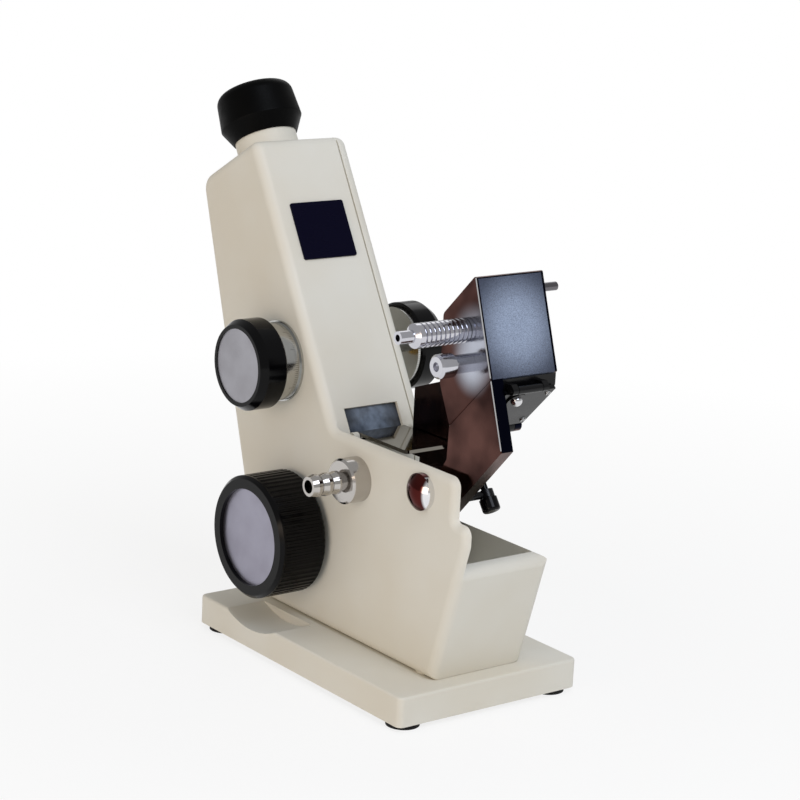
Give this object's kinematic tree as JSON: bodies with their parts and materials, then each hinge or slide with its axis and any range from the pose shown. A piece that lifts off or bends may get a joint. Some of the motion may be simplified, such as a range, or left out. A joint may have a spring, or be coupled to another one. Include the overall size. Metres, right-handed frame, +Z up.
{
  "type": "abbe refractometer",
  "caption": "Bench refractometer with a leaning eyepiece tower, side hand wheels, open tray, hinged prism box and folding mirrors.",
  "frame": {"origin": "on the table, under the middle of the whole object (centre of its bounding box in X and Y)", "axes": "+Z up; +X from the eyepiece towards the prism box; +Y away from the side with the large index wheel"},
  "size_m": [0.2332, 0.1102, 0.2554],
  "materials": {
    "cream_paint": "smooth semi-gloss enamel",
    "black_rubber": "matte",
    "black_plastic": "glossy",
    "navy_panel": "satin",
    "bare_aluminium": "satin",
    "turned_aluminium": "turned",
    "chrome_plate": "polished",
    "polished_steel": "ground and polished",
    "screw_steel": "satin",
    "dark_texture": "wrinkle paint",
    "black_paint": "matte",
    "gear_brass": "machined",
    "optical_glass": "polished",
    "window_pane": "polished",
    "silvered_mirror": "polished"
  },
  "bodies": {
    "stand": {"base_plate": "cream_paint", "rubber_feet": "black_rubber", "base_screws": "screw_steel", "body_casting": "cream_paint", "far_side_cover": "cream_paint", "cover_screws": "screw_steel", "slope_panel": "navy_panel", "window_glass": "window_pane", "eyepiece_collar": "cream_paint", "telescope_tube": "black_paint", "objective_lens": "optical_glass", "reticle": "optical_glass", "compensator_frame": "turned_aluminium", "scale_relay_tube": "black_paint", "scale_relay_prisms": "optical_glass", "index_bush": "gear_brass", "dispersion_bushes": "gear_brass", "dispersion_index_flange": "turned_aluminium", "sector_pivot_pin": "screw_steel", "prism_bracket": "polished_steel", "far_arm": "polished_steel", "prism_box": "polished_steel", "box_front_cover": "dark_texture", "refracting_prism": "optical_glass", "box_hose_nipple": "chrome_plate", "box_port_cap": "chrome_plate", "body_hose_nipple": "chrome_plate", "bracket_screws": "chrome_plate", "thermometer_stub": "chrome_plate", "lid_hinge_pin": "screw_steel", "flap_hinge_pin": "screw_steel", "clamp_arm": "black_paint"},
    "index_wheel": {"index_wheel_rim": "black_plastic", "index_wheel_disc": "bare_aluminium", "index_pinion_shaft": "screw_steel"},
    "mirror_sector": {"sector_arm": "gear_brass", "tilt_mirror": "silvered_mirror", "glass_scale": "optical_glass"},
    "near_dispersion_wheel": {"near_dispersion_rim": "black_plastic", "near_dispersion_disc": "bare_aluminium", "near_scale_ring": "turned_aluminium", "near_pinion_shaft": "screw_steel"},
    "far_dispersion_wheel": {"far_dispersion_rim": "black_plastic", "far_scale_ring": "turned_aluminium", "far_pinion_shaft": "screw_steel"},
    "lower_compensator": {"lower_compensator_mount": "gear_brass", "lower_amici_prism": "optical_glass"},
    "upper_compensator": {"upper_compensator_mount": "gear_brass", "upper_amici_prism": "optical_glass"},
    "eyecup_ring": {"eyecup": "black_plastic"},
    "eyepiece_cell": {"eyepiece_lens_cell": "black_paint", "eyepiece_lenses": "optical_glass"},
    "prism_lid": {"lid_frame": "black_paint", "illuminating_prism": "optical_glass", "mirror_hinge_pin": "screw_steel"},
    "reflecting_mirror": {"mirror_frame": "black_paint", "mirror_glass": "silvered_mirror", "mirror_knob": "chrome_plate"},
    "scale_mirror_flap": {"scale_flap": "chrome_plate"},
    "clamp_screw": {"clamp_knob": "black_plastic"}
  },
  "joints": [
    {"name": "index_turn", "type": "hinge", "parent": "stand", "child": "index_wheel", "pos_m": [-0.01844, -0.00038, 0.0565], "axis": [0, 1, 0], "range_deg": [-66, 66]},
    {"name": "sector_tilt", "type": "hinge", "parent": "stand", "child": "mirror_sector", "pos_m": [-0.02134, -0.00038, 0.0982], "axis": [0, 1, 0], "range_deg": [-8, 8]},
    {"name": "near_dispersion_turn", "type": "hinge", "parent": "stand", "child": "near_dispersion_wheel", "pos_m": [-0.03596, -0.00038, 0.13271], "axis": [0, 1, 0], "continuous": true},
    {"name": "far_dispersion_turn", "type": "hinge", "parent": "stand", "child": "far_dispersion_wheel", "pos_m": [-0.03596, -0.00038, 0.13271], "axis": [0, 1, 0], "continuous": true},
    {"name": "lower_compensator_turn", "type": "hinge", "parent": "stand", "child": "lower_compensator", "pos_m": [-0.03596, -0.00187, 0.13271], "axis": [-0.5, 0, 0.866], "continuous": true},
    {"name": "upper_compensator_turn", "type": "hinge", "parent": "stand", "child": "upper_compensator", "pos_m": [-0.03596, -0.00187, 0.13271], "axis": [-0.5, 0, 0.866], "continuous": true},
    {"name": "eyecup_turn", "type": "hinge", "parent": "stand", "child": "eyecup_ring", "pos_m": [-0.09611, -0.00187, 0.2369], "axis": [-0.5, 0, 0.866], "range_deg": [-150, 150]},
    {"name": "lens_cell_slide", "type": "slide", "parent": "stand", "child": "eyepiece_cell", "axis": [-0.5, 0, 0.866], "range_m": [-0.002, 0.002]},
    {"name": "lid_hinge", "type": "hinge", "parent": "stand", "child": "prism_lid", "pos_m": [0.08347, -0.00038, 0.12598], "axis": [0, 1, 0], "range_deg": [0, 75]},
    {"name": "mirror_hinge", "type": "hinge", "parent": "prism_lid", "child": "reflecting_mirror", "pos_m": [0.11063, -0.00038, 0.14974], "axis": [0, -1, 0], "range_deg": [0, 100]},
    {"name": "scale_flap_hinge", "type": "hinge", "parent": "stand", "child": "scale_mirror_flap", "pos_m": [0.01081, -0.00038, 0.1065], "axis": [0, -1, 0], "range_deg": [0, 115]},
    {"name": "clamp_knob_turn", "type": "hinge", "parent": "stand", "child": "clamp_screw", "pos_m": [0.08706, -0.00187, 0.0975], "axis": [0.5821, 0, -0.8131], "range_deg": [-180, 180]}
  ],
  "couplings": [
    {"joint": "sector_tilt", "follows": "index_turn", "ratio": -0.12},
    {"joint": "far_dispersion_turn", "follows": "near_dispersion_turn", "ratio": -1},
    {"joint": "lower_compensator_turn", "follows": "near_dispersion_turn", "ratio": -0.33333},
    {"joint": "upper_compensator_turn", "follows": "near_dispersion_turn", "ratio": 0.33333},
    {"joint": "eyecup_turn", "follows": "lens_cell_slide", "rad_per_m": 1305}
  ]
}
